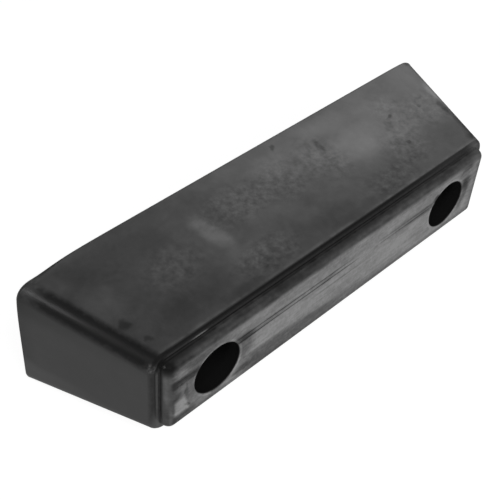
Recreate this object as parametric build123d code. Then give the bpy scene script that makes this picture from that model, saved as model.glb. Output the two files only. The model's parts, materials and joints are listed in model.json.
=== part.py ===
from build123d import *
import os

# Rubber bump stop: one moulded block of solid rubber, longer than it is high, that narrows from its flat
# mounting face to a smaller striking face. Two recessed bolts hold it to a wall, a dock or a frame.
# The origin is the centre of the mounting face. X runs along the block, the mounting face looks along +Y,
# the striking face looks along -Y, and Z is up. All sizes are in millimetres.

# Tapered body
BACK_LENGTH = 400.0
BACK_HEIGHT = 97.0
FRONT_LENGTH = 343.0
FRONT_HEIGHT = 72.4
BODY_DEPTH = 97.6
LONG_EDGE_RADIUS = 13.0
FRONT_EDGE_RADIUS = 3.0

# Cap: the shallow raised pad that carries the striking face, set in from the body's front outline
CAP_DEPTH = 8.4
STEP_AT_ENDS = 6.5
STEP_AT_SIDES = 5.2
CAP_EDGE_RADIUS = 6.3
STEP_ROOT_RADIUS = 0.8

# Bolt holes: a wide recess for head, washer and socket, and a narrow hole through the seat
HOLE_SPACING = 244.0
RECESS_DIAMETER = 40.0
SEAT_THICKNESS = 30.0
BOLT_HOLE_DIAMETER = 18.0
MOUTH_RADIUS = 0.8

# Witness lines: a pair of hairlines that the mould leaves along the striking face
WITNESS_HEIGHT = 11.6
WITNESS_GAP = 3.9
WITNESS_WIDTH = 0.5
WITNESS_DEPTH = 0.3

CAP_LENGTH = FRONT_LENGTH - 2 * STEP_AT_ENDS
CAP_HEIGHT = FRONT_HEIGHT - 2 * STEP_AT_SIDES
TOTAL_DEPTH = BODY_DEPTH + CAP_DEPTH
RECESS_DEPTH = TOTAL_DEPTH - SEAT_THICKNESS

# Two edges closer than this count as lying at the same place
SAME_PLACE = 0.01


def section(depth):
    """Plane across the block at this distance in front of the mounting face, with local x, y as X, Z."""
    return Plane.XZ.offset(depth)


def edges_at(solid, depth):
    """Edges that lie wholly in the plane at this depth."""
    return solid.edges().filter_by_position(Axis.Y, -depth - SAME_PLACE, -depth + SAME_PLACE)


def tapered_body():
    """Loft from the mounting outline to the front outline, with the front outline rounded over."""
    back = section(0) * RectangleRounded(BACK_LENGTH, BACK_HEIGHT, LONG_EDGE_RADIUS)
    front = section(BODY_DEPTH) * RectangleRounded(FRONT_LENGTH, FRONT_HEIGHT, LONG_EDGE_RADIUS)
    body = loft([back, front], ruled=True)
    return fillet(edges_at(body, BODY_DEPTH), FRONT_EDGE_RADIUS)


def striking_cap():
    """Raised pad with one radius on its four corners and its front outline, so each corner is a ball."""
    pad = extrude(section(BODY_DEPTH) * Rectangle(CAP_LENGTH, CAP_HEIGHT), CAP_DEPTH)
    corners = pad.edges().filter_by(Axis.Y)
    outline = edges_at(pad, TOTAL_DEPTH)
    return fillet(corners + outline, CAP_EDGE_RADIUS)


def round_step_root(block):
    """Soften the crease where the cap rises from the body, as a moulding has it."""
    crease = [
        edge for edge in edges_at(block, BODY_DEPTH)
        if abs(edge.center().X) < CAP_LENGTH / 2 + SAME_PLACE
        and abs(edge.center().Z) < CAP_HEIGHT / 2 + SAME_PLACE
    ]
    return fillet(crease, STEP_ROOT_RADIUS)


def bolt_holes():
    """Recess and bolt hole on each of the two axes, as the volume to take away."""
    axes = GridLocations(HOLE_SPACING, 0, 2, 1)
    wide = Sketch() + [place * Circle(RECESS_DIAMETER / 2) for place in axes]
    narrow = Sketch() + [place * Circle(BOLT_HOLE_DIAMETER / 2) for place in axes]
    recesses = extrude(section(SEAT_THICKNESS) * wide, RECESS_DEPTH)
    holes = extrude(section(0) * narrow, SEAT_THICKNESS)
    return recesses + holes


def round_hole_mouths(block):
    """Round the rims of the two recesses on the striking face."""
    rims = edges_at(block, TOTAL_DEPTH).filter_by(GeomType.CIRCLE)
    return fillet(rims, MOUTH_RADIUS)


def witness_lines():
    """Two parallel hairline grooves over the whole length of the striking face."""
    rows = GridLocations(0, WITNESS_GAP, 1, 2)
    strips = Sketch() + [row * Rectangle(CAP_LENGTH, WITNESS_WIDTH) for row in rows]
    return extrude(section(TOTAL_DEPTH) * Pos(0, WITNESS_HEIGHT) * strips, -WITNESS_DEPTH)


block = tapered_body() + striking_cap()
block = round_step_root(block)
block = block - bolt_holes()
block = round_hole_mouths(block)
block = block - witness_lines()

os.makedirs("parts", exist_ok=True)
export_step(block, "parts/rubber_block.step")
print("rubber_block", round(block.volume / 1000, 1), "cm3", "solids", len(block.solids()), "valid", block.is_valid)
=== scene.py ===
# %% [markdown]
# # A rubber bump stop
#
# The object is one block of moulded black rubber that is bolted to a wall or a dock, so that vehicles and
# trolleys knock against rubber and not against concrete. It is a tapered bar with rounded edges, a shallow
# raised cap at the front, and two deep recesses for the bolts.
#
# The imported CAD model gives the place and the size. This lesson makes the skin that is seen: a fine mesh
# with true round edges, worked out with numpy, and a rubber finish made of shader maths.

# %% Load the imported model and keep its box
import json
import math

import bmesh
import bpy
import numpy as np
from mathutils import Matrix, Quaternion, Vector
from mathutils.geometry import delaunay_2d_cdt


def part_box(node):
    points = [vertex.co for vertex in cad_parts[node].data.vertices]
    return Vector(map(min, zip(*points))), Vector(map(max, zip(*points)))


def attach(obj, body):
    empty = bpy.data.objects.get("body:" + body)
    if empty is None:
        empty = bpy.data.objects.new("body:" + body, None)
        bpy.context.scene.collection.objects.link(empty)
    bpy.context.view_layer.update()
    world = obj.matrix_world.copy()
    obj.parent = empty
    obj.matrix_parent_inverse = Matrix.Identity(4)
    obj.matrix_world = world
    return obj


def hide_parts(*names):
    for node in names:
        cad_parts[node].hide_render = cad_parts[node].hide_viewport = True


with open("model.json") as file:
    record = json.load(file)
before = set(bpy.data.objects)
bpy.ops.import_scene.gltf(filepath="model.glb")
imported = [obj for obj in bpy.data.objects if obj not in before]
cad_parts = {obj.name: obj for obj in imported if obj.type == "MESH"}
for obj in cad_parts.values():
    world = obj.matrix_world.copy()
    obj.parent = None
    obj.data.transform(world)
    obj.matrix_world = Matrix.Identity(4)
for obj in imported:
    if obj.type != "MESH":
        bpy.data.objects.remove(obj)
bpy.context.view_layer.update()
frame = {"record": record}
MM = 0.001

# %% [markdown]
# ## Sizes
#
# The block's length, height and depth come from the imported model, and so do the bolt holes. The rest are the
# sizes of the moulding, in millimetres. X runs along the block, the striking face looks along -Y, and depth
# is counted from the mounting face. A pair of half sizes is one for X and one for Z, because the ends slope
# more than the long sides.

# %% Name the sizes of the moulding
lowest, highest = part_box("rubber_block")
mounts = {mount["name"]: mount for mount in frame["record"]["mounts"]}

BACK_HALF = np.array([highest.x, highest.z]) / MM
TOTAL_DEPTH = -lowest.y / MM
FRONT_HALF = np.array([171.5, 36.2])
BODY_DEPTH = 97.6
LONG_EDGE_RADIUS = 13.0
FRONT_EDGE_RADIUS = 3.0
WORN_FRONT_EDGE_RADIUS = 4.3
BACK_EDGE_RADIUS = 0.6

CAP_HALF = np.array([165.0, 31.0])
CAP_EDGE_RADIUS = 6.3
STEP_ROOT_RADIUS = 0.8

HOLE_SPACING = mounts["bolt_holes"]["dims"]["spacing_x_mm"]
BOLT_HOLE_RADIUS = mounts["bolt_holes"]["dims"]["hole_r_mm"]
RECESS_RADIUS = mounts["left_recess"]["dims"]["r_mm"]
SEAT_DEPTH = 30.0
MOUTH_RADIUS = 0.8
SEAT_CORNER_RADIUS = 1.5
BOLT_HOLE_RIM = 0.5

WITNESS_HEIGHT = 11.6
WITNESS_GAP = 3.9
WITNESS_WIDTH = 0.5
WITNESS_DEPTH = 0.3

print("half sizes at the back", BACK_HALF, "at the front", FRONT_HALF, "depth", round(TOTAL_DEPTH, 1))

# %% [markdown]
# ## Camera
#
# The picture looks down on the block's upper side, its left end and its striking face. A camera is easiest to
# reason about as a point that it looks at, two angles, a distance and a small roll. A long lens keeps the
# taper of the block from being mixed up with perspective.

# %% Place the camera
CAMERA_TARGET = Vector((-23.05, -36.96, -6.77)) * MM
CAMERA_DISTANCE = 744.8 * MM
CAMERA_TURN = math.radians(48.06)
CAMERA_HEIGHT = math.radians(43.52)
CAMERA_ROLL = math.radians(4.54)
CAMERA_LENS = 72.86


def direction(turn, height):
    """Unit vector: turn is measured from +Y towards +X, height is above the horizon."""
    level = math.cos(height)
    return Vector((math.sin(turn) * level, math.cos(turn) * level, math.sin(height)))


def new_object(name, data):
    """An object in the scene."""
    made = bpy.data.objects.new(name, data)
    bpy.context.scene.collection.objects.link(made)
    return made


view_line = direction(CAMERA_TURN, -CAMERA_HEIGHT)
camera = new_object("Camera", bpy.data.cameras.new("Camera"))
camera.data.lens = CAMERA_LENS
camera.location = CAMERA_TARGET - view_line * CAMERA_DISTANCE
camera.rotation_mode = "QUATERNION"
camera.rotation_quaternion = view_line.to_track_quat("-Z", "Y") @ Quaternion((0, 0, 1), CAMERA_ROLL)
bpy.context.scene.camera = camera
print("camera at", [round(v / MM) for v in camera.location])

# %% [markdown]
# ## Shader maths
#
# A finish is a formula over the surface. Blender stores it as a graph of nodes, and a graph is hard to read
# in code. The class below wraps one socket and lets Python's own operators add the Math nodes, so that a
# finish can be written as `dark * (1 - mask) + pale * mask`.

# %% A socket that can be used in sums
def operator(operation, reflected=False):
    """A method that adds a Math node on a field and another value, the other way round if reflected."""
    def method(self, *others):
        values = (*others, self) if reflected else (self, *others)
        return Field.node("ShaderNodeMath", {"operation": operation}, dict(enumerate(values)))
    return method


class Field:
    """One shader value. Sums, differences, products and powers of fields and numbers add Math nodes."""

    tree = None

    def __init__(self, socket):
        self.socket = socket

    @classmethod
    def node(cls, kind, settings=None, inputs=None, output=0):
        """Adds a node, sets its settings, then fills its sockets with numbers or with other fields."""
        node = cls.tree.nodes.new(kind)
        for name, value in (settings or {}).items():
            setattr(node, name, value)
        for name, value in (inputs or {}).items():
            if isinstance(value, Field):
                cls.tree.links.new(value.socket, node.inputs[name])
            else:
                node.inputs[name].default_value = value
        return cls(node.outputs[output]) if node.outputs else None

    __add__ = __radd__ = operator("ADD")
    __sub__ = operator("SUBTRACT")
    __rsub__ = operator("SUBTRACT", reflected=True)
    __mul__ = __rmul__ = operator("MULTIPLY")
    __pow__ = operator("POWER")
    __abs__ = operator("ABSOLUTE")
    at_least = operator("MAXIMUM")
    at_most = operator("MINIMUM")

    def ramp(self, start, end, curve="LINEAR"):
        """0 below start, 1 above end, and a straight line between. With start above end it falls."""
        sockets = {"Value": self, "From Min": start, "From Max": end}
        return Field.node("ShaderNodeMapRange", {"interpolation_type": curve}, sockets)

    def rise(self, start, end):
        """The same with a smooth S in place of the line."""
        return self.ramp(start, end, "SMOOTHSTEP")

    def window(self, start, full, fading, gone):
        """0 up to start, 1 from full to fading, 0 again from gone on, smooth between."""
        return self.rise(start, full) * self.rise(gone, fading)

    def between(self, low, high):
        """The value held between two limits."""
        return self.at_least(low).at_most(high)


def written_by_field(owner):
    """Empties the nodes of a material or a world, and lets Field write into it."""
    owner.use_nodes = True
    owner.node_tree.nodes.clear()
    Field.tree = owner.node_tree
    return owner


def grey(level):
    """A neutral colour."""
    return (level, level, level, 1.0)


# %% [markdown]
# ## Floor
#
# The block lies on white paper. For the camera the floor is white by its own glow, with a little real light
# on top, so that the block's shadow still shows as a faint grey. Its reflection in the rubber is weaker, and
# fades from the block outwards, as paper does where the light ends. For the light that it bounces onto the
# block it is ordinary pale paper.

# %% Lay the floor
FLOOR_HALF = 3.0
FLOOR_GLOW = 0.9
FLOOR_SHADE = 0.2
FLOOR_PAPER = 0.8
MIRRORED_NEAR = 0.15
MIRRORED_FAR = 0.75
MIRRORED_GLOW = 0.28


def light_path(name):
    """1 for rays of one kind and 0 for all others."""
    return Field.node("ShaderNodeLightPath", output=name)


def paper_material():
    """Glow plus a little diffuse for what is seen, plain diffuse for what bounces."""
    material = written_by_field(bpy.data.materials.new("white paper"))
    place = Field.node("ShaderNodeTexCoord", output="Object")
    away = Field.node("ShaderNodeVectorMath", {"operation": "LENGTH"}, {0: place}, output="Value")
    mirrored = away.rise(MIRRORED_FAR, MIRRORED_NEAR) * MIRRORED_GLOW
    camera_ray = light_path("Is Camera Ray")
    strength = camera_ray * FLOOR_GLOW + (1 - camera_ray) * mirrored
    glow = Field.node("ShaderNodeEmission", None, {"Color": grey(1.0), "Strength": strength})
    shade = Field.node("ShaderNodeBsdfDiffuse", None, {"Color": grey(FLOOR_SHADE)})
    seen = Field.node("ShaderNodeAddShader", None, {0: glow, 1: shade})
    bounced = Field.node("ShaderNodeBsdfDiffuse", None, {"Color": grey(FLOOR_PAPER)})
    direct = (camera_ray + light_path("Is Glossy Ray") + light_path("Is Transmission Ray")).at_most(1.0)
    surface = Field.node("ShaderNodeMixShader", None, {0: direct, 1: bounced, 2: seen})
    Field.node("ShaderNodeOutputMaterial", None, {"Surface": surface})
    return material


floor_mesh = bpy.data.meshes.new("Floor")
square = [(-1, -1), (1, -1), (1, 1), (-1, 1)]
floor_mesh.from_pydata([(x * FLOOR_HALF, y * FLOOR_HALF, lowest.z) for x, y in square], [], [(0, 1, 2, 3)])
floor = new_object("Floor", floor_mesh)
floor.data.materials.append(paper_material())
print("floor at z", round(lowest.z / MM, 1), "mm")

# %% [markdown]
# ## Light
#
# Black rubber sends back so little light that most of what is seen on it is reflection. A large soft light
# behind the right end is mirrored by the upper side, and the white floor by the left end and the striking
# face. The dim room between them is mirrored by the rounded edges, which draws them as dark lines. A small
# light over the left end gives the cap's ball corner its glint. A matt surface that faces the lights shows
# about the colour that is written for it.

# %% Hang the soft lights
ROOM_LEVEL = 0.12


def soft_light(name, turn, height, distance, width, tall, level):
    """A rectangular light that looks at the block. Its power is level times pi times its area."""
    lamp = bpy.data.lights.new(name, "AREA")
    lamp.shape = "RECTANGLE"
    lamp.size = width
    lamp.size_y = tall
    lamp.energy = level * math.pi * width * tall
    light = new_object(name, lamp)
    away = direction(math.radians(turn), math.radians(height))
    light.location = away * distance
    light.rotation_mode = "QUATERNION"
    light.rotation_quaternion = away.to_track_quat("Z", "Y")
    return light


soft_light("Light behind the right end", turn=62, height=50, distance=1.8, width=2, tall=1.6, level=0.45)
soft_light("Light over the left end", turn=283.5, height=28.5, distance=1.09, width=0.42, tall=0.18, level=5)
fill = soft_light("Fill from the front", turn=200, height=45, distance=1.8, width=1.4, tall=1.4, level=4.6)
fill.visible_glossy = False

world = written_by_field(bpy.data.worlds.new("Room"))
room = Field.node("ShaderNodeBackground", None, {"Color": grey(ROOM_LEVEL)})
white = Field.node("ShaderNodeBackground", None, {"Color": grey(1.0)})
surroundings = Field.node("ShaderNodeMixShader", None, {0: light_path("Is Camera Ray"), 1: room, 2: white})
Field.node("ShaderNodeOutputWorld", None, {"Surface": surroundings})
bpy.context.scene.world = world
bpy.context.scene.view_settings.view_transform = "Standard"
print("lamps", [lamp.name for lamp in bpy.data.lights])

# %% [markdown]
# ## The skin as one surface of two parameters
#
# Every cut across the block is a rounded rectangle, so the whole outer skin can be one grid. One parameter
# goes round the rounded rectangle. The other goes along the profile: over the back edge, down the taper, over
# the front edge, across the ledge, up the cap and over its edge.
#
# A point of a rounded rectangle is a corner centre plus the corner radius times the outward direction. That
# needs two arrays for one turn: the sign or share of the corner centre, called core, and the outward
# direction, called out.

# %% Go once round a rounded rectangle
CORNER_STEPS = 14
LONG_STEPS = 80
SHORT_STEPS = 24


def once_round():
    """core and out for one turn. In a corner, core is (+-1, +-1) and out swings through a quarter turn. Along
    a straight run, out stands still and core slides evenly from one corner to the next."""
    signs = np.array([(1, 1), (-1, 1), (-1, -1), (1, -1)], float)
    core, out = [], []
    for quarter, steps in enumerate((LONG_STEPS, SHORT_STEPS, LONG_STEPS, SHORT_STEPS)):
        angle = (quarter + np.linspace(0, 1, CORNER_STEPS + 1)) * np.pi / 2
        core.append(np.tile(signs[quarter], (CORNER_STEPS + 1, 1)))
        out.append(np.stack([np.cos(angle), np.sin(angle)], axis=1))
        share = np.linspace(0, 1, steps + 1)[1:-1, None]
        core.append(signs[quarter] + share * (signs[(quarter + 1) % 4] - signs[quarter]))
        out.append(np.tile(out[-1][-1], (steps - 1, 1)))
    return np.vstack(core), np.vstack(out)


CORE, OUT = once_round()
print("points in one turn:", len(CORE))

# %% [markdown]
# ## The profile
#
# The profile is a chain of arcs and straight runs. Each stretch is written as two arrays, the half size and
# the depth, with one value for the ends (X) and one for the long sides (Z), because a steeper side meets its
# neighbour at another angle. An arc between two lines that slope by an angle has its centre set in from the
# corner by radius times (1 +- sin) / cos.
#
# Use has rounded the front edge a little more at the left end. So its radius is an array over the turn, which
# the formulas take as they take a number.

# %% Write the profile of the tapered body
SLOPE = np.arctan2(BACK_HALF - FRONT_HALF, BODY_DEPTH)
SIN, COS, TAN = np.sin(SLOPE), np.cos(SLOPE), np.tan(SLOPE)
FRONT_RADIUS = np.where(CORE[:, :1] < 0, [WORN_FRONT_EDGE_RADIUS, FRONT_EDGE_RADIUS], FRONT_EDGE_RADIUS)


def steps(count):
    """Even shares from 0 to 1, shaped to broadcast over the turn and over X and Z."""
    return np.linspace(0, 1, count + 1)[:, None, None]


def over_back_edge(radius, count):
    """Arc from the mounting face's normal to the side's: half = centre + radius sin(t), depth = radius (1 -
    cos(t)), for t from 0 to a right angle plus the slope."""
    t = steps(count) * (np.pi / 2 + SLOPE)
    centre = BACK_HALF - radius * (1 + SIN) / COS
    half = centre + radius * np.sin(t)
    return half, radius * (1 - np.cos(t)), LONG_EDGE_RADIUS - (BACK_HALF - half).mean(-1)


def down_the_taper(radius, count):
    """Straight run: half = back half size - depth tan(slope), at the long edges' full radius."""
    first = radius * (1 + SIN)
    last = BODY_DEPTH - FRONT_RADIUS * (1 - SIN)
    depth = first + steps(count) * (last - first)
    half = BACK_HALF - depth * TAN
    return half, depth, np.full(half.shape[:-1], LONG_EDGE_RADIUS)


print("slopes in degrees", np.degrees(SLOPE).round(1), "front radii", np.unique(FRONT_RADIUS))

# %% [markdown]
# The corner radius goes along with the profile, as a third array of each stretch, from the body's full
# rounding down to nothing at the striking face. The ledge needs no stretch of its own: it is the row of quads
# between the front edge's arc and the cap's hollow root.

# %% Write the profile of the front edge and the cap
def step_corner(half):
    """Corner radius on the ledge and the cap's wall: the cap's, plus how far the outline is outside it."""
    return (CAP_EDGE_RADIUS + half - CAP_HALF).mean(-1)


def over_front_edge(count):
    """Arc from the side's normal to the ledge's: half = centre + radius cos(t), depth = centre + radius
    sin(t), for t from the slope to a right angle. The corner radius goes over to the ledge's on the way."""
    t = SLOPE + steps(count) * (np.pi / 2 - SLOPE)
    centre = FRONT_HALF - FRONT_RADIUS * (1 - SIN) / COS
    half = centre + FRONT_RADIUS * np.cos(t)
    depth = BODY_DEPTH - FRONT_RADIUS * (1 - np.sin(t))
    share = ((COS - np.cos(t)) / COS).mean(-1)
    return half, depth, LONG_EDGE_RADIUS + share * (step_corner(half[-1:]) - LONG_EDGE_RADIUS)


def up_the_step(count):
    """Hollow arc at the cap's root: half = cap + radius (1 - sin(t)), depth = body + radius (1 - cos(t))."""
    t = steps(count) * np.pi / 2
    half = CAP_HALF + STEP_ROOT_RADIUS * (1 - np.sin(t))
    depth = BODY_DEPTH + STEP_ROOT_RADIUS * (1 - np.cos(t))
    return half, depth, step_corner(half)


def over_cap_edge(count):
    """Arc to the striking face: half = centre + radius cos(t), depth = centre + radius sin(t). The corner
    radius shrinks with cos(t) as well, which makes each corner of the cap a ball."""
    t = steps(count) * np.pi / 2
    half = CAP_HALF - CAP_EDGE_RADIUS * (1 - np.cos(t))
    depth = TOTAL_DEPTH - CAP_EDGE_RADIUS * (1 - np.sin(t))
    return half, depth, (CAP_EDGE_RADIUS * np.cos(t)).mean(-1)


# %% [markdown]
# The mounting face is trimmed by hand after moulding, and its two upper corners have lost more than the rest,
# the left one most. So the back edge's radius is an array over the turn as well, and grows near them.

# %% Carry the profile round the block
WORN_CORNERS = [((-188.0, 60.0), 8.2, 19.0), ((198.0, 50.0), 2.6, 12.0)]
WEAR_POWER = 1.5
BACK_EDGE_STEPS = 6
TAPER_STEPS = 24
FRONT_EDGE_STEPS = 12
ROOT_STEPS = 5
CAP_EDGE_STEPS = 16


def back_edge_radius():
    """Usual radius, plus what each worn corner adds to it times exp(-(distance / reach) ** power)."""
    outline = CORE * (BACK_HALF - LONG_EDGE_RADIUS) + OUT * LONG_EDGE_RADIUS
    radius = np.full(len(outline), BACK_EDGE_RADIUS)
    for place, worn, reach in WORN_CORNERS:
        away = np.linalg.norm(outline - np.array(place), axis=1)
        radius += (worn - BACK_EDGE_RADIUS) * np.exp(-(away / reach) ** WEAR_POWER)
    return radius


def skin():
    """Grid of points, profile by turn: X, Z = core (half - corner radius) + out corner radius. The depth is
    the X profile's where the surface looks along X and the Z profile's where it looks along Z."""
    worn = back_edge_radius()[:, None]
    stretches = [
        over_back_edge(worn, BACK_EDGE_STEPS),
        down_the_taper(worn, TAPER_STEPS),
        over_front_edge(FRONT_EDGE_STEPS),
        up_the_step(ROOT_STEPS),
        over_cap_edge(CAP_EDGE_STEPS),
    ]
    turn = (len(CORE), 2)
    half = np.vstack([np.broadcast_to(h, h.shape[:1] + turn) for h, _, _ in stretches])
    depth = np.vstack([np.broadcast_to(d, d.shape[:1] + turn) for _, d, _ in stretches])
    corner = np.vstack([np.broadcast_to(c, c.shape[:1] + turn[:1]) for _, _, c in stretches])[..., None]
    flat = CORE * (half - corner) + OUT * corner
    along = (depth * OUT ** 2).sum(-1)
    return np.stack([flat[..., 0], -along, flat[..., 1]], axis=-1)


SKIN = skin()
print("skin grid", SKIN.shape[:2], "lowest and highest", SKIN.min((0, 1)).round(2), SKIN.max((0, 1)).round(2))

# %% [markdown]
# ## The recesses
#
# A recess is turned, like a bowl: one profile of radius and depth is carried round the bolt's axis. It has a
# small round lip at its mouth, a straight wall, a rounded corner at the seat, and the narrow bolt hole.

# %% Turn the profile of a recess
TURN_STEPS = 112
LIP_STEPS = 6
SEAT_CORNER_STEPS = 5
RIM_STEPS = 4
WALL_RINGS = 14


def quarter_arc(centre, radius, start, end, count):
    """Points (distance from the axis, depth) on an arc: centre + radius (cos(t), sin(t)), t in degrees."""
    t = np.radians(np.linspace(start, end, count + 1))
    return np.stack([centre[0] + radius * np.cos(t), centre[1] + radius * np.sin(t)], axis=1)


def recess_profile():
    """Lip, wall, seat corner, seat, rim of the bolt hole, hole, and its rim on the mounting face."""
    lip_centre = (RECESS_RADIUS + MOUTH_RADIUS, TOTAL_DEPTH - MOUTH_RADIUS)
    lip = quarter_arc(lip_centre, MOUTH_RADIUS, 90, 180, LIP_STEPS)
    corner_centre = (RECESS_RADIUS - SEAT_CORNER_RADIUS, SEAT_DEPTH + SEAT_CORNER_RADIUS)
    corner = quarter_arc(corner_centre, SEAT_CORNER_RADIUS, 0, -90, SEAT_CORNER_STEPS)
    rim_distance = BOLT_HOLE_RADIUS + BOLT_HOLE_RIM
    rim = quarter_arc((rim_distance, SEAT_DEPTH - BOLT_HOLE_RIM), BOLT_HOLE_RIM, 90, 180, RIM_STEPS)
    back_rim = quarter_arc((rim_distance, BOLT_HOLE_RIM), BOLT_HOLE_RIM, 180, 270, RIM_STEPS)
    wall_depths = np.linspace(lip_centre[1], corner_centre[1], WALL_RINGS)[1:-1]
    wall = np.stack([np.full_like(wall_depths, RECESS_RADIUS), wall_depths], axis=1)
    return np.vstack([lip, wall, corner, rim, back_rim])


def recess(centre_x):
    """Grid of points, profile by turn: X and Z on a circle, Y straight from the depth."""
    angle = np.linspace(0, 2 * np.pi, TURN_STEPS, endpoint=False)
    distance, depth = recess_profile().T[..., None]
    x = centre_x + distance * np.cos(angle)
    z = distance * np.sin(angle)
    return np.stack([x, np.broadcast_to(-depth, x.shape), z], axis=-1)


HOLE_X = np.array([-HOLE_SPACING / 2, HOLE_SPACING / 2])
RECESSES = [recess(x) for x in HOLE_X]
print("recess grid", RECESSES[0].shape[:2])

# %% [markdown]
# ## The two flat faces
#
# A flat face with round holes has no natural grid. Blender's constrained Delaunay function fills it: it takes
# points and the edges that must stay, and gives back triangles. The points are the skin's own last ring, the
# rings of the holes, a loose grid between them and, on the striking face, the two hairlines that the mould's
# insert leaves, each as a fine groove of three lines.

# %% Fill a flat face round its holes
FILL_SPACING = 6.0
FILL_MARGIN = 2.5
FILL_TOLERANCE = 1e-4
INSIDE_ONLY = 1


def inner_points(half, hole_radius, rows):
    """Staggered grid inside the outline that keeps a margin to the outline, the holes and the grooves."""
    x, z = np.meshgrid(*(np.arange(-limit, limit, FILL_SPACING) for limit in half))
    x[1::2] += FILL_SPACING / 2
    points = np.stack([x.ravel(), z.ravel()], axis=1)
    keep = (np.abs(points) < half - FILL_MARGIN).all(1)
    for hole_x in HOLE_X:
        keep &= np.hypot(points[:, 0] - hole_x, points[:, 1]) > hole_radius + FILL_MARGIN
    for row in rows:
        keep &= np.abs(points[:, 1] - row) > FILL_MARGIN
    return points[keep]


def fill(rings, lines, loose):
    """Triangles over all points, with every ring and line kept as edges, and the holes' insides left out."""
    points, edges = [loose], []
    first = len(loose)
    for path, closed in [(ring, True) for ring in rings] + [(line, False) for line in lines]:
        index = first + np.arange(len(path))
        points.append(path)
        edges.append(np.stack([index, np.roll(index, -1)], axis=1)[:None if closed else -1])
        first += len(path)
    flat = [Vector(point) for point in np.vstack(points)]
    kept_edges = np.vstack(edges).tolist()
    verts, _, faces, *_ = delaunay_2d_cdt(flat, kept_edges, [], INSIDE_ONLY, FILL_TOLERANCE)
    verts = np.array([tuple(v) for v in verts])
    faces = np.array([face for face in faces if len(face) == 3])
    middle = verts[faces].mean(1)
    hole_radius = np.abs(rings[1][:, 1]).max()
    outside = np.ones(len(faces), bool)
    for hole_x in HOLE_X:
        outside &= np.hypot(middle[:, 0] - hole_x, middle[:, 1]) > hole_radius * np.cos(np.pi / TURN_STEPS)
    return verts, faces[outside]


print("loose points in the back", len(inner_points(BACK_HALF, BOLT_HOLE_RADIUS, [])))

# %% [markdown]
# The grooves stop short of the lips and of the face's edge, where the mould closes tightly, so their depth
# fades there. That is a formula of the place too: a V across the groove, times a fade along it.

# %% Cut the hairlines into the striking face
WITNESS_ROWS = WITNESS_HEIGHT + np.array([-0.5, 0.5]) * WITNESS_GAP
WITNESS_FADE = 3.0
WITNESS_CLEAR = 0.8
WITNESS_POINTS_APART = 4


def groove_stretches(rows, lip_radius, half_length):
    """Row, start and end of each hairline between the face's edge and the lips of the recesses."""
    stretches = []
    for row in rows:
        reach = math.sqrt(lip_radius ** 2 - row ** 2)
        starts = [-half_length, *(HOLE_X + reach)]
        ends = [*(HOLE_X - reach), half_length]
        stretches += [(row, start + WITNESS_CLEAR, end - WITNESS_CLEAR) for start, end in zip(starts, ends)]
    return stretches


def groove_lines(stretches):
    """The two shoulders and the bottom of each groove, as lines of evenly spaced points."""
    lines = []
    for row, start, end in stretches:
        x = np.linspace(start, end, int((end - start) / WITNESS_POINTS_APART) + 2)
        for side in (-0.5, 0.0, 0.5):
            lines.append(np.stack([x, np.full_like(x, row + side * WITNESS_WIDTH)], axis=1))
    return lines


def groove_depth(points, stretches):
    """V across: 1 - |z - row| / half width. Fade along: 0 at each end of a stretch, 1 a few mm further in."""
    depth = np.zeros(len(points))
    for row, start, end in stretches:
        across = np.clip(1 - np.abs(points[:, 1] - row) / (WITNESS_WIDTH / 2), 0, 1)
        inside = np.minimum(points[:, 0] - start, end - points[:, 0])
        depth += WITNESS_DEPTH * across * np.clip(inside / WITNESS_FADE, 0, 1)
    return depth


def flat_face(outline, holes, depth, rows):
    """Points and triangles of one flat face, at its depth, with hairlines cut in along the rows."""
    half = np.abs(outline).max(0)
    hole_radius = np.abs(holes[0][:, 1]).max()
    stretches = groove_stretches(rows, hole_radius, half[0])
    loose = inner_points(half, hole_radius, rows)
    verts, faces = fill([outline, *holes], groove_lines(stretches), loose)
    return np.stack([verts[:, 0], groove_depth(verts, stretches) - depth, verts[:, 1]], axis=1), faces


def in_plane(ring):
    """X and Z of a ring of points."""
    return ring[:, [0, 2]]


mouths = [in_plane(grid[0]) for grid in RECESSES]
bolt_holes = [in_plane(grid[-1]) for grid in RECESSES]
striking_face = flat_face(in_plane(SKIN[-1]), mouths, TOTAL_DEPTH, WITNESS_ROWS)
mounting_face = flat_face(in_plane(SKIN[0]), bolt_holes, 0.0, [])
print("triangles in the two flat faces", len(striking_face[1]), len(mounting_face[1]))

# %% [markdown]
# ## One closed mesh
#
# The grids and the filled faces share their border points, so merging the doubles closes the block.
#
# All of it is shaded smooth, and weighted normals then keep the large faces flat.

# %% Join the pieces and check that the block is closed
MERGE_DISTANCE = 2e-6
CM3 = 1e-6
LARGE_FACES_LEAD = 100


def grid_part(grid):
    """Points of one grid and its quads. The grid closes on itself along its columns."""
    index = np.arange(grid[..., 0].size).reshape(grid.shape[:2])
    after = np.roll(index, -1, axis=1)
    quads = np.stack([index[:-1], after[:-1], after[1:], index[1:]], axis=-1)
    return grid.reshape(-1, 3), quads.reshape(-1, 4)


def joined(parts):
    """One list of points and one of faces from several, with each part's face numbers moved up."""
    verts, faces, first = [], [], 0
    for points, corners in parts:
        verts.append(points)
        faces += (corners + first).tolist()
        first += len(points)
    return np.vstack(verts), faces


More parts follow.
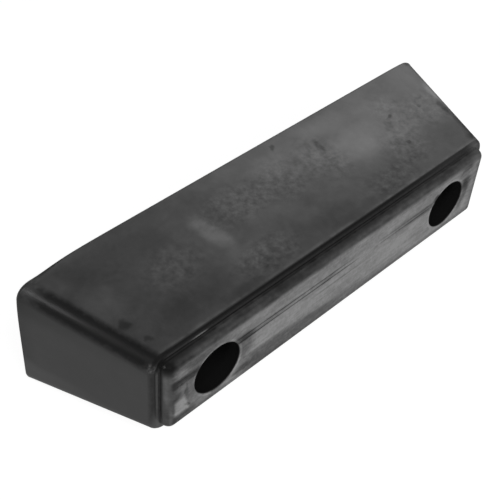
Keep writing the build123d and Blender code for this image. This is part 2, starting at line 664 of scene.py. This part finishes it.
def build_block():
    """The block's mesh in metres, merged, closed and facing outwards."""
    verts, faces = joined([grid_part(SKIN), *map(grid_part, RECESSES), striking_face, mounting_face])
    mesh = bpy.data.meshes.new("rubber bump stop")
    mesh.from_pydata((verts * MM).tolist(), [], faces)
    work = bmesh.new()
    work.from_mesh(mesh)
    bmesh.ops.remove_doubles(work, verts=work.verts, dist=MERGE_DISTANCE)
    bmesh.ops.dissolve_degenerate(work, edges=work.edges, dist=MERGE_DISTANCE)
    bmesh.ops.recalc_face_normals(work, faces=work.faces)
    open_edges = sum(not edge.is_manifold for edge in work.edges)
    volume = work.calc_volume() / CM3
    print("faces", len(work.faces), "open edges", open_edges, "volume in cm3", round(volume, 1))
    work.to_mesh(mesh)
    work.free()
    mesh.shade_smooth()
    return mesh


block = new_object("rubber_bump_stop", build_block())
shading = block.modifiers.new("Flat faces stay flat", "WEIGHTED_NORMAL")
shading.weight = LARGE_FACES_LEAD
shading.keep_sharp = True

# %% [markdown]
# ## Which way each point looks
#
# The finish differs from side to side: the striking face is rubbed grey, the upper side carries a cloudy
# bloom, and the rounded edges are polished dark. The mesh already knows which side a point belongs to,
# through its normal, so numpy measures how far each normal has turned away from a side. A turn towards an
# easy direction counts only in part, because dust reaches further round some edges than round others.

# %% Measure how far the surface has turned
STRIKING_WAY = (0.0, -1.0, 0.0)
TINY = 1e-9


def read_vectors(collection, field):
    """One row of three numbers for each item."""
    values = np.empty(len(collection) * 3, np.float32)
    collection.foreach_get(field, values)
    return values.reshape(-1, 3).astype(float)


def angle_between(normals, way):
    """Degrees between each normal and one direction."""
    return np.degrees(np.arccos(np.clip(normals @ np.array(way), -1, 1)))


def turned_from(normals, ways, easy, share):
    """Degrees from each normal to the nearest of the directions, where a turn towards the easy direction
    counts only a share. The turn is drawn as an arrow on the plane across the direction, as long as the
    angle, and the arrow's easy part is shortened."""
    found = []
    for way in ways:
        sideways = normals - np.outer(normals @ np.array(way), way)
        length = np.maximum(np.linalg.norm(sideways, axis=1), TINY)
        arrow = sideways * (angle_between(normals, way) / length)[:, None]
        eased = np.maximum(arrow @ np.array(easy), 0) * (1 - share)
        found.append(np.linalg.norm(arrow - np.outer(eased, easy), axis=1))
    return np.min(found, axis=0)


place = read_vectors(block.data.vertices, "co") / MM
normal = read_vectors(block.data.vertex_normals, "vector")
lean = angle_between(normal, STRIKING_WAY)
print("points", len(place), "of which look straight forward", int((lean < 1).sum()))

# %% [markdown]
# ## Masks on the points
#
# A mask is 1 where a finish is full and 0 where it is absent. It is stored on the points as an attribute,
# which a material can read and an export can bake. Points inside the recesses belong to no side.
#
# The cap has its own masks. Scuffs fade over the first third of its round, and a thinner rub stays up to the
# wall. The end walls stop below the upper ball corners. The ledge is what looks forward behind the cap, and
# the crease is the cap's wall with the hollow arc at its root.

# %% Work out the masks of the cap
SLACK = 0.01
LIP_DUST_AND_HIGHLIGHT = 1.2
SCUFFED_TO = 35.0
RUBBED_FROM, RUBBED_TO = 38.0, 104.0
WALL_TO, WALL_FADE = 98.0, 24.0
BALL_GAP, BALL_FADE = 1.0, 6.0
LEDGE_FADE = 24.0
ROOT_STARTS = 0.1


def fade(values, start, end):
    """1 before start, 0 after end, on a smooth curve between."""
    share = np.clip((values - start) / (end - start), 0, 1)
    return 1 - share * share * (3 - 2 * share)


from_bolt = np.hypot(np.abs(place[:, 0]) - HOLE_X[1], place[:, 2])
# The dust runs on over part of the mouth's round lip: dust, and also a painted highlight that makes the lip
# look lit.
open_skin = np.clip(LIP_DUST_AND_HIGHLIGHT * (from_bolt - RECESS_RADIUS) / MOUTH_RADIUS, 0, 1)
open_skin = np.maximum(open_skin, place[:, 1] > -SLACK)
off_centre = np.abs(place[:, [0, 2]])
flat_part = (off_centre < CAP_HALF - CAP_EDGE_RADIUS + SLACK).all(1)
cap = (off_centre < CAP_HALF + SLACK).all(1) & (place[:, 1] < -BODY_DEPTH - STEP_ROOT_RADIUS)
lean = np.where(flat_part & cap, 0.0, lean)

end_wall = np.abs(normal[:, 0]) * np.clip((WALL_TO - lean) / WALL_FADE, 0, 1) * cap * ~flat_part
below_ball = np.clip((CAP_HALF[1] - CAP_EDGE_RADIUS + BALL_GAP - place[:, 2]) / BALL_FADE, 0, 1)
ledge = ~cap & (place[:, 1] < -BODY_DEPTH + SLACK)
wall = cap & (place[:, 1] > CAP_EDGE_RADIUS - TOTAL_DEPTH - SLACK)
root = ~cap & (place[:, 1] < -BODY_DEPTH - ROOT_STARTS)
masks = {
    "striking": fade(lean, 0, SCUFFED_TO) * cap * open_skin,
    "rubbed": fade(lean, RUBBED_FROM, RUBBED_TO) * cap * open_skin,
    "cap_ends": end_wall * below_ball,
    "ledge": np.clip(1 - lean / LEDGE_FADE, 0, 1) * ledge,
    "crease": wall | root,
    "recess": 1 - open_skin,
}
print("points on the cap", int(cap.sum()), "and on its flat", int((cap & flat_part).sum()))

# %% [markdown]
# Each of the other sides has one mask. It is 1 up to the side's full angle and falls to 0 at the angle where
# the side is gone. A few corners that the trimming knife has roughened have a mask too, which falls to 0 at
# one and a half times a corner's reach. The mask named turned is the angle to the nearest side.

# %% Work out the masks of the other sides and store them all
ALONG_X = (1.0, 0.0, 0.0)
ALONG_Y = (0.0, 1.0, 0.0)
LONG_SIDE = dict(full=8, gone=27, easy=ALONG_X, share=0.15)
SIDES = {
    "upper": dict(LONG_SIDE, ways=[(0.0, -SIN[1], COS[1])]),
    "lower": dict(LONG_SIDE, ways=[(0.0, -SIN[1], -COS[1])]),
    "ends": dict(ways=[(COS[0], -SIN[0], 0.0), (-COS[0], -SIN[0], 0.0)], full=2, gone=28,
                 easy=STRIKING_WAY, share=0.35),
    "mounting": dict(ways=[ALONG_Y], full=8, gone=27, easy=ALONG_Y, share=1.0),
}
ROUGH_CORNERS = [
    ((-192.0, 0.0, 44.0), 16.0, 0.28),
    ((198.0, 0.0, 46.0), 10.0, 0.75),
    ((-169.0, -95.0, 28.0), 3.5, 0.28),
]
ROUGH_CORE = 1.5

nearest = np.where(cap, lean, 180.0)
for name, side in SIDES.items():
    angle = turned_from(normal, side["ways"], side["easy"], side["share"])
    nearest = np.minimum(nearest, angle)
    share = np.clip((angle - side["gone"]) / (side["full"] - side["gone"]), 0, 1)
    masks[name] = share * open_skin * ~cap
rough = [level * np.clip(ROUGH_CORE - np.linalg.norm(place - corner, axis=1) / reach, 0, 1)
         for corner, reach, level in ROUGH_CORNERS]
masks["rough_corner"] = np.max(rough, axis=0)
masks["turned"] = nearest * open_skin

for name, values in masks.items():
    attribute = block.data.attributes.new(name, "FLOAT", "POINT")
    attribute.data.foreach_set("value", values.astype(np.float32))
print("masks", list(masks))

# %% [markdown]
# ## Building blocks of the finish
#
# Everything on the rubber is one of three patterns: a soft noise for clouds and grain, the same noise drawn
# out along the block for streaks, and a soft oval for a smudge that sits in one place. All read the Object
# coordinates in millimetres.

# %% Write the noise
rubber = written_by_field(bpy.data.materials.new("moulded rubber"))
metres = Field.node("ShaderNodeTexCoord", output="Object")
point = Field.node("ShaderNodeVectorMath", {"operation": "SCALE"}, {0: metres, "Scale": 1 / MM})
x, y, z = (Field.node("ShaderNodeSeparateXYZ", None, {0: point}, output=axis) for axis in "XYZ")
SEED_STEP = (173.0, 91.0, 47.0)


def mask(name):
    """One of the masks that numpy stored."""
    return Field.node("ShaderNodeAttribute", {"attribute_name": name}, output="Fac")


def noise(size, seed, detail=3.0, roughness=0.5, stretch=(1.0, 1.0, 1.0), bend=0.0, output="Fac"):
    """Soft noise around 0.5 with cells of this size in millimetres, drawn out along each axis by stretch."""
    cell = [size * share for share in stretch]
    moved = {"Vector": point, "Location": [seed * step for step in SEED_STEP], "Scale": cell}
    vector = Field.node("ShaderNodeMapping", {"vector_type": "TEXTURE"}, moved)
    sockets = {"Vector": vector, "Scale": 1.0, "Detail": detail, "Roughness": roughness, "Distortion": bend}
    return Field.node("ShaderNodeTexNoise", None, sockets, output=output)


def swing(size, seed, **options):
    """The same noise around 0."""
    return noise(size, seed, **options) - 0.5


print("coordinates", metres.socket.name)

# %% [markdown]
# The ovals read a copy of the coordinates that a noise has bent by a few millimetres, so that no smudge has a
# drawn outline. The soft edge of a whole side is torn by noise for the same reason.

# %% Write the smudges and the torn edges
BEND_SIZE = 9.0
BEND_AMOUNT = 9.0
OVAL_CORE = 0.25
DEEP = 1e6
TEAR_SIZE = 3.5
TEAR_STRENGTH = 1.6
TEAR_STARTS = 0.15

push = Field.node("ShaderNodeVectorMath", {"operation": "SUBTRACT"},
                  {0: noise(BEND_SIZE, 20, output="Color"), 1: (0.5, 0.5, 0.5)})
bent_point = Field.node("ShaderNodeVectorMath", {"operation": "MULTIPLY_ADD"},
                        {0: push, 1: (BEND_AMOUNT,) * 3, 2: point})


def oval(first, second, half_length, half_width, turn, side):
    """1 in the middle, 0 outside an ellipse. Its middle is given as x and y on the upper side, as x and z on
    the striking face. Along the third axis it is drawn out so far that this axis does not count."""
    def three(a, b, c):
        return (a, b, c) if side == "upper" else (a, c, b)

    angle = math.radians(turn if side == "upper" else -turn)
    moved = {"Vector": bent_point, "Location": three(first, second, 0), "Rotation": three(0, 0, angle),
             "Scale": three(half_length, half_width, DEEP)}
    vector = Field.node("ShaderNodeMapping", {"vector_type": "TEXTURE"}, moved)
    away = Field.node("ShaderNodeVectorMath", {"operation": "LENGTH"}, {0: vector}, output="Value")
    return away.rise(1.0, OVAL_CORE)


def smudges(dust, patches, side):
    """Adds ovals to a dust level. A patch is two places, half length, half width, turn and strength."""
    for *place_and_size, turn, strength in patches:
        dust = dust + strength * oval(*place_and_size, turn, side)
    return dust


def torn(share, seed):
    """A mask whose soft edge is torn by noise, while its full part and its empty part stay as they are."""
    tear = (1 - share) * share.rise(0, TEAR_STARTS) * TEAR_STRENGTH
    return (share + tear * swing(TEAR_SIZE, seed, bend=0.5)).between(0, 1)


print("smudges are bent by up to", BEND_AMOUNT / 2, "mm")

# %% [markdown]
# ## Dust on the upper side
#
# Wax and dust collect on the skin of old rubber as a grey film. Here it is thin at the left end and thick
# towards the right, in soft clouds with a leathery mottle in them, and it is rubbed off in a few small spots.
# The level of dust is a number from 0, bare, to 1, grey all over.
#
# The clouds in the photograph have a place and a size of their own, so they are ovals in short lists. What
# lies between them is noise.

# %% Place the clouds of the upper side
CLOUDS = [
    (-70, -42, 11, 26, 11, 0.20),
    (10, -19, 32, 14, 0, 0.10),
    (82, -42, 42, 24, 4, 0.17),
    (74, -14, 32, 13, 0, 0.12),
    (40, -30, 14, 22, 0, 0.08),
    (26, -56, 44, 22, 0, -0.06),
    (-165, -44, 16, 26, 10, 0.03),
    (-115, -46, 26, 20, 0, 0.02),
    (-118, -78, 44, 16, 0, -0.05),
    (180, -38, 6, 18, -16, 0.26),
    (158, -66, 34, 22, 0, -0.07),
    (-128, -24, 46, 18, 0, -0.05),
    (-60, -72, 50, 14, 0, 0.05),
    (16, -84, 28, 12, 0, -0.07),
    (110, -24, 54, 14, 0, 0.05),
    (0, -5, 95, 10, 0, 0.05),
    (42, -92, 54, 7, 0, -0.09),
    (-84, -92, 27, 7, 0, -0.09),
]
RUBBED_SPOTS = [
    (23, -9.5, 2.5, 5, -40, -0.22),
    (55, -28, 3.5, 11, -8, -0.15),
    (52, -44, 5, 3, 10, -0.15),
    (126, -38, 7, 2.5, 20, -0.24),
    (117, -44, 5, 7, -20, -0.11),
    (115, -65, 3.5, 3.5, 0, -0.22),
    (157, -44, 3.5, 3, 0, -0.24),
    (164, -37, 4, 2, 0, -0.15),
    (172, -55, 4.5, 13, -16, -0.28),
    (169, -78, 5, 26, -16, -0.12),
    (163, -90, 5, 6, 0, -0.13),
    (-165, -66, 5, 6, 0, -0.16),
    (-160, -83, 4, 4, 0, -0.14),
]
MOTTLED = [
    (-110, -50, 34, 22, 0, 0.6),
    (-38, -34, 46, 22, 0, 0.9),
    (-52, -80, 40, 18, 0, 1.0),
    (8, -36, 36, 26, 0, 0.8),
    (48, -40, 26, 34, 0, 0.8),
    (76, -84, 40, 16, 0, 0.9),
    (112, -66, 30, 26, 0, 1.0),
    (160, -48, 32, 26, 0, 0.8),
    (132, -40, 24, 30, 0, 1.0),
]
print("clouds", len(CLOUDS), "rubbed spots", len(RUBBED_SPOTS), "mottled places", len(MOTTLED))

# %% [markdown]
# The level rises along the block and falls towards its front edge. The last millimetres before that edge are
# rubbed lighter, the trimmed back edge is a dark line, and dust lies along it at the left. From here on each
# part has a name: the number in front is its strength, and the numbers in brackets are places in millimetres.

# %% Cloud the upper side
LEFT_DUST = 0.257
MORE_AT_RIGHT = 0.45
LESS_IN_FRONT = 0.23
MOTTLE_EVERYWHERE = 0.16

along = x.ramp(-165, 170)
forward = y.rise(-52, -84)
broad_clouds = 0.2 * swing(48, 1, bend=0.6)
small_clouds = 0.16 * swing(17, 2, bend=1.0)
leather = 0.5 * swing(5.0, 4, detail=2.4, roughness=0.55)
speckle = 0.16 * swing(1.8, 5, detail=2.0)
mottle = (leather + speckle) * smudges(MOTTLE_EVERYWHERE, MOTTLED, "upper").between(0, 1)
front_rim = 0.10 * y.rise(-92.5, -95) * noise(9, 17).rise(0.35, 0.6)
back_line = 0.10 * y.rise(-1.9, -0.9) * x.ramp(-160, 60)
back_corner = 0.12 * y.rise(-9, -2) * x.rise(-120, -185)

upper_dust = LEFT_DUST + MORE_AT_RIGHT * along - LESS_IN_FRONT * along * forward
upper_dust = upper_dust + broad_clouds + small_clouds + mottle + front_rim - back_line + back_corner
upper_dust = smudges(upper_dust, CLOUDS + RUBBED_SPOTS, "upper")
print("nodes so far", len(Field.tree.nodes))

# %% [markdown]
# ## The rubbed striking face
#
# The striking face is where bodies slide along the block, so it is scuffed to a pale grey with streaks that
# run along X. The mould's two hairlines stay dark, and so do a few places: beside the recesses, at the left
# end, and in a long wedge along the lower edge. Soft patches are ovals in a list again.

# %% Place the patches and the lines of the striking face
STRIKING_PATCHES = [
    (-143, -14, 4, 8, 35, 0.12),
    (-98, 3.5, 15, 17, 0, -0.38),
    (-148.5, 0, 2.4, 9, 0, -0.22),
    (-147.5, -14.5, 6, 1.6, -55, -0.30),
    (-162, 26, 6, 5, 0, -0.12),
    (-134, -21, 11, 4, 0, 0.25),
    (72, -4, 50, 8, 0, 0.10),
    (108, 13.5, 7, 5, 45, -0.9),
    (147, 9, 8, 10, 0, -0.34),
    (145, 24, 12, 5, 0, -0.35),
    (145, -2, 8, 22, 0, -0.26),
    (149, -15, 6, 7, 0, 0.18),
    (-98, -19, 13, 5, 0, -0.38),
    (-18, -19.5, 28, 4, 0, -0.12),
    (60, 19, 40, 8, 0, 0.11),
    (-16, 11, 14, 4, 0, -0.16),
    (-157, -1, 6, 7, 0, -0.10),
    (144, 6, 10, 30, 0, -0.12),
    (120, -24, 20, 4, 0, -0.12),
    (-158, -19, 5, 5, 0, 0.15),
]
LOW_LINE, HIGH_LINE = WITNESS_ROWS
DARK_LINES = [
    (HIGH_LINE, -104, 2, 0.42),
    (HIGH_LINE - 1.5, 44, 106, 0.22),
    (LOW_LINE, -104, 12, 0.55),
    (LOW_LINE - 0.8, 38, 95, 0.34),
    (2.0, -26, 24, 0.30),
]
LINE_HALF_WIDTH = 1.1
FADE_IN, FADE_OUT = 8, 14
BAND_BORDER = 1.5


def dark_line(height, start, end, strength):
    """A thin line along X at this height, which fades at its ends."""
    across = abs(z - height).rise(LINE_HALF_WIDTH, 0.0)
    along = x.window(start - FADE_IN, start + FADE_IN, end - FADE_OUT, end + FADE_OUT)
    return across * along * strength


def band(bottom, top):
    """1 between two heights, with soft borders."""
    return z.window(bottom - BAND_BORDER, bottom + BAND_BORDER, top - BAND_BORDER, top + BAND_BORDER)


print("patches", len(STRIKING_PATCHES), "dark lines", len(DARK_LINES))

# %% [markdown]
# The level is a pale grey that is darker at both ends and towards the upper and lower rims. The wedge lies
# under a line that falls a little along X, and it thins out towards the right.

# %% Write the level of the striking face
FACE_DUST = 0.892
WEDGE_START = -115.0
WEDGE_HEIGHT = -5.2
WEDGE_SLOPE = 0.08

left_end = 0.29 * x.rise(-104, -128) + 0.32 * x.rise(-152, -162)
right_end = 0.05 * x.rise(148, 153) + 0.21 * x.rise(154.5, 160)
rims = 0.13 * z.rise(2, 20) + (0.10 + 0.10 * x.rise(0, 45)) * z.rise(-20, -24.5)
left_foot = 0.14 * z.rise(-17, -20) * x.rise(-138, -146)
above_wedge = z - WEDGE_HEIGHT + WEDGE_SLOPE * (x - WEDGE_START)
along_wedge = x.rise(WEDGE_START + 4, WEDGE_START + 32) * x.ramp(90, -60)
wedge = 0.42 * above_wedge.rise(1.5, -4) * along_wedge
face_level = FACE_DUST - left_end - right_end - rims - left_foot - wedge
print("nodes so far", len(Field.tree.nodes))

# %% [markdown]
# Over the level go long streaks, soft smears and a fine tooth. Two pale flats with slanting borders lie left
# of the recess, and a dark band on the inner side of each recess. Round the mouths goes a pale, broken ring
# that is a painted highlight, and inside it painted shade darkens the lower lip.

# %% Scuff the striking face
streaks = 0.46 * swing(2.2, 6, roughness=0.6, stretch=(16, 1, 1))
smears = 0.40 * swing(9, 7, stretch=(2, 1, 1), bend=0.8)
tooth = 0.44 * swing(2.4, 8, detail=2.5, bend=0.6)
low_flat = 0.44 * x.rise(-160.6, -157.6) * (x + 0.3 * z).rise(-150.5, -153.5) * z.window(-21, -17, -7, -2)
high_border = z + 0.5 * (x + 152)
high_flat = 0.28 * x.window(-165, -158, -150, -143) * z.rise(15, 17) * high_border.rise(25, 20)
left_band = band(8.2, 15.2) * (0.12 * x.rise(-45, -75) + 0.24 * x.rise(-82, -98))
right_band = band(6.2, 13.2) * 0.24 * x.window(48, 88, 120, 160)
from_axis = ((abs(x) - HOLE_X[1]) ** 2 + z ** 2) ** 0.5
# A painted highlight: a pale, broken ring round each mouth.
lip_highlight_ring = 0.22 * from_axis.rise(23.0, 21.6) * noise(12, 23).rise(0.35, 0.55)
# Painted shade: the lower lip of each mouth is darker.
lower_lip_shade = 0.22 * from_axis.rise(21.6, 20.4) * z.rise(-15, -18.5)

striking_dust_and_light = smudges(face_level + streaks + smears + tooth, STRIKING_PATCHES, "striking")
striking_dust_and_light = striking_dust_and_light + low_flat + high_flat + lip_highlight_ring - lower_lip_shade - left_band - right_band
for line in DARK_LINES:
    striking_dust_and_light = striking_dust_and_light - dark_line(*line)
print("nodes so far", len(Field.tree.nodes))

# %% [markdown]
# ## The step round the cap
#
# Round the cap's edge the scuffs thin out into a soft rub, which ends at the wall. The rub grows towards the
# right, has a pale run high on the round, and a few marks at the left end, where a thin bright line along
# the corner is a painted highlight. The ledge under the cap carries dust and a painted highlight line, most
# of all at the left end, where the highlight is painted pale.

# %% Dust the step
RUBBED_DUST = 0.28
LEDGE_DUST_AND_HIGHLIGHT = 0.26

coarse = 0.5 * swing(5, 26, detail=4.0, roughness=0.65, stretch=(1.6, 1, 1))
along_rub = 0.09 * swing(9, 16, stretch=(2.5, 1, 1))
at_right = 0.03 * x.rise(0, 30) + 0.08 * x.rise(105, 145) + 0.12 * x.rise(146, 160)
at_left = 0.09 * x.rise(-138, -150)
high_run = band(28.3, 30.3) * (0.07 * x.rise(-50, -90) + 0.08 * x.window(-34, -22, 96, 112))
low_left = x.rise(-157, -159) * z.rise(-5, -13) * (0.24 * x.rise(-163.4, -161.5) - 0.08)
high_left = 0.12 * x.window(-164, -161.5, -159.5, -158) * z.window(14, 17, 21, 25)
# A painted highlight: a thin bright line down the cap's left corner.
corner_highlight_line = 0.13 * x.window(-165, -164.7, -164.2, -162.8) * z.rise(-6, 3)
rubbed_dust_and_highlight = RUBBED_DUST + at_right - at_left + along_rub + coarse
rubbed_dust_and_highlight = rubbed_dust_and_highlight + high_run + low_left + high_left + corner_highlight_line

# The ledge's level is dust, together with a painted highlight line along it.
long_ledges = (LEDGE_DUST_AND_HIGHLIGHT + 0.05 * x.rise(40, 110)) * x.rise(-168, -155) - 0.12 * x.rise(155, 163)
# A painted highlight on the ledge at the left end.
end_ledge_highlight = 0.46 * x.rise(-155, -166) * z.rise(27, 21) - 0.06 * x.rise(-160, -165) * z.rise(-10, -16)
# A painted highlight along the flash line of the upper ledge near the left end.
flash_highlight = x.window(-162, -157, -128, -122) * z.rise(33.4, 32.4) * (0.06 + 0.62 * x.rise(-141, -132))
inside_rim = x.rise(-168.2, -167.0)
ledge_dust_and_highlight = (long_ledges + end_ledge_highlight + flash_highlight) * inside_rim
print("nodes so far", len(Field.tree.nodes))

# %% [markdown]
# ## The plain sides and the thinnest film
#
# The ends, the lower side and the mounting face are plain: one level with broad soft clouds. No edge of an
# old block is quite clean, so the dust never falls under a thin film, which is the largest of three levels:
# the body's, the cap wall's and that of the first turn of the front edge.

# %% Dust the plain sides
END_DUST = 0.31
BACK_DUST = 0.3
CAP_END_DUST = 0.28
BODY_FILM = 0.09
WALL_FILM = 0.13
FRONT_EDGE_FILM = 0.22

clouds = 0.3 * swing(45, 11) + 0.15 * swing(5, 12)
# Painted shade: the ends are darker towards the back and the upper edge, to even out how the light falls
# there.
upper_back_shade = 0.03 * z.rise(14, 28) + 0.07 * z.rise(18, 34) * y.ramp(-60, -5)
end_dust_and_shade = END_DUST - 0.04 * y.rise(-14, -3) - upper_back_shade
end_dust_and_shade = end_dust_and_shade + 0.06 * swing(40, 9) + 0.01 * swing(3, 10) + clouds * x.rise(0, 100)

on_body = BODY_FILM * y.ramp(-85, -10) + 0.17 * x.rise(40, 140) + 0.3 * x.rise(-150, -165) * z.rise(-4, -28)
right_corner = 0.22 * x.window(146, 160, 161, 168) * y.rise(-88, -95)
on_wall = WALL_FILM + 0.11 * x.window(-132, -112, -88, -62) + 0.06 * x.rise(30, 120) + coarse
on_wall = on_wall * y.window(-105, -102, -98.4, -97.8) * x.rise(-150, -135)
on_front_edge = FRONT_EDGE_FILM * y.window(-96.8, -95.9, -95.3, -94.5) * x.rise(-165, -150)
# The recesses are left without the film, which paints shade into them.
film_and_recess_shade = (on_body + right_corner).at_least(on_wall).at_least(on_front_edge) * (1 - mask("recess"))
print("nodes so far", len(Field.tree.nodes))

# %% [markdown]
# ## All of it together
#
# The dust of each side is weighted with the side's mask. What belongs to no side is a rounded edge, a crease
# or a recess, and stays bare dark rubber. On the rounded edges that is polish from every touch, while the
# dark of the crease and of the recesses is painted shade.

# %% Add up the dust
RAGGED = 2.4
CREASE_PAINTED_SHADE = 0.5
SCRATCHES = 5.0

worn = mask("striking")
worn = worn + worn * (1 - worn) * swing(4, 18, stretch=(7, 1, 1)) * RAGGED
left_ball = x.rise(-155, -160) * z.rise(21, 27)
scratched = 1 + y.rise(-70, -85) * swing(1.6, 24) * SCRATCHES
# The sum also carries the painted highlights and the painted shade named above, besides the dust.
dust = worn * striking_dust_and_light + (1 - worn) * (1 - left_ball) * mask("rubbed") * rubbed_dust_and_highlight
# Painted shade: the upper side's dust is cut back in the crease, so the crease is darker.
dust = dust + torn(mask("upper"), 19) * (1 - CREASE_PAINTED_SHADE * mask("crease")) * upper_dust
dust = dust + torn(mask("ends"), 21) * end_dust_and_shade + mask("cap_ends") * CAP_END_DUST
dust = dust + (mask("lower") + mask("mounting")) * (BACK_DUST + clouds) + mask("ledge") * ledge_dust_and_highlight
dust = dust + mask("rough_corner") * (1 - mask("upper") - mask("ends")) * scratched
dust = dust.between(film_and_recess_shade, 1.0)
print("nodes so far", len(Field.tree.nodes))

# %% [markdown]
# Dust is rough and grey, bare rubber is smoother and nearly black. The colour follows the dust to a power,
# because eyes judge dark tones by ratio. The roughness falls by the polish of the rounded edges, and the
# crease is roughest, because no cloth gets into it. The bump is a very fine grain over a shallow, broader
# unevenness, and the ends came smoother out of the mould.

# %% Mix the rubber
BARE_RUBBER = grey(0.006)
FULL_DUST = grey(0.27)
DUST_POWER = 1.6
BARE_ROUGHNESS = 0.44
DUST_ROUGHNESS = 0.12
CREASE_ROUGHNESS = 0.4
LEFT_EDGE_ROUGHNESS = 0.12
POLISH = 0.14
ENDS_SMOOTHER = 0.5
COLOUR_A, COLOUR_B, MIXED_COLOUR = 6, 7, 2

mixed = {"Factor": dust ** DUST_POWER, COLOUR_A: BARE_RUBBER, COLOUR_B: FULL_DUST}
colour = Field.node("ShaderNodeMix", {"data_type": "RGBA"}, mixed, output=MIXED_COLOUR)

polished = mask("turned").rise(6, 30)
left_edge = x.rise(-140, -160) * y.window(-98, -96, -56, -36)
uneven = 0.08 * swing(9, 13, detail=4.0)
roughness = BARE_ROUGHNESS + DUST_ROUGHNESS * dust + CREASE_ROUGHNESS * mask("crease") + uneven
roughness = roughness + (LEFT_EDGE_ROUGHNESS * left_edge - POLISH) * polished

grain = 0.05 * swing(0.9, 14, roughness=0.6) + 0.1 * swing(7, 15)
height = grain * (1 - ENDS_SMOOTHER * mask("ends"))
bumped = Field.node("ShaderNodeBump", None, {"Strength": 0.35, "Distance": MM, "Height": height})
sockets = {"Base Color": colour, "Roughness": roughness, "IOR": 1.5, "Specular IOR Level": 0.42,
           "Normal": bumped}
surface = Field.node("ShaderNodeBsdfPrincipled", None, sockets, output="BSDF")
Field.node("ShaderNodeOutputMaterial", None, {"Surface": surface})
block.data.materials.append(rubber)
print("nodes in the rubber", len(Field.tree.nodes))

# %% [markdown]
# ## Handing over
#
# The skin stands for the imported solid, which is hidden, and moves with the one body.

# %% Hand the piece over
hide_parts("rubber_block")
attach(block, "root")
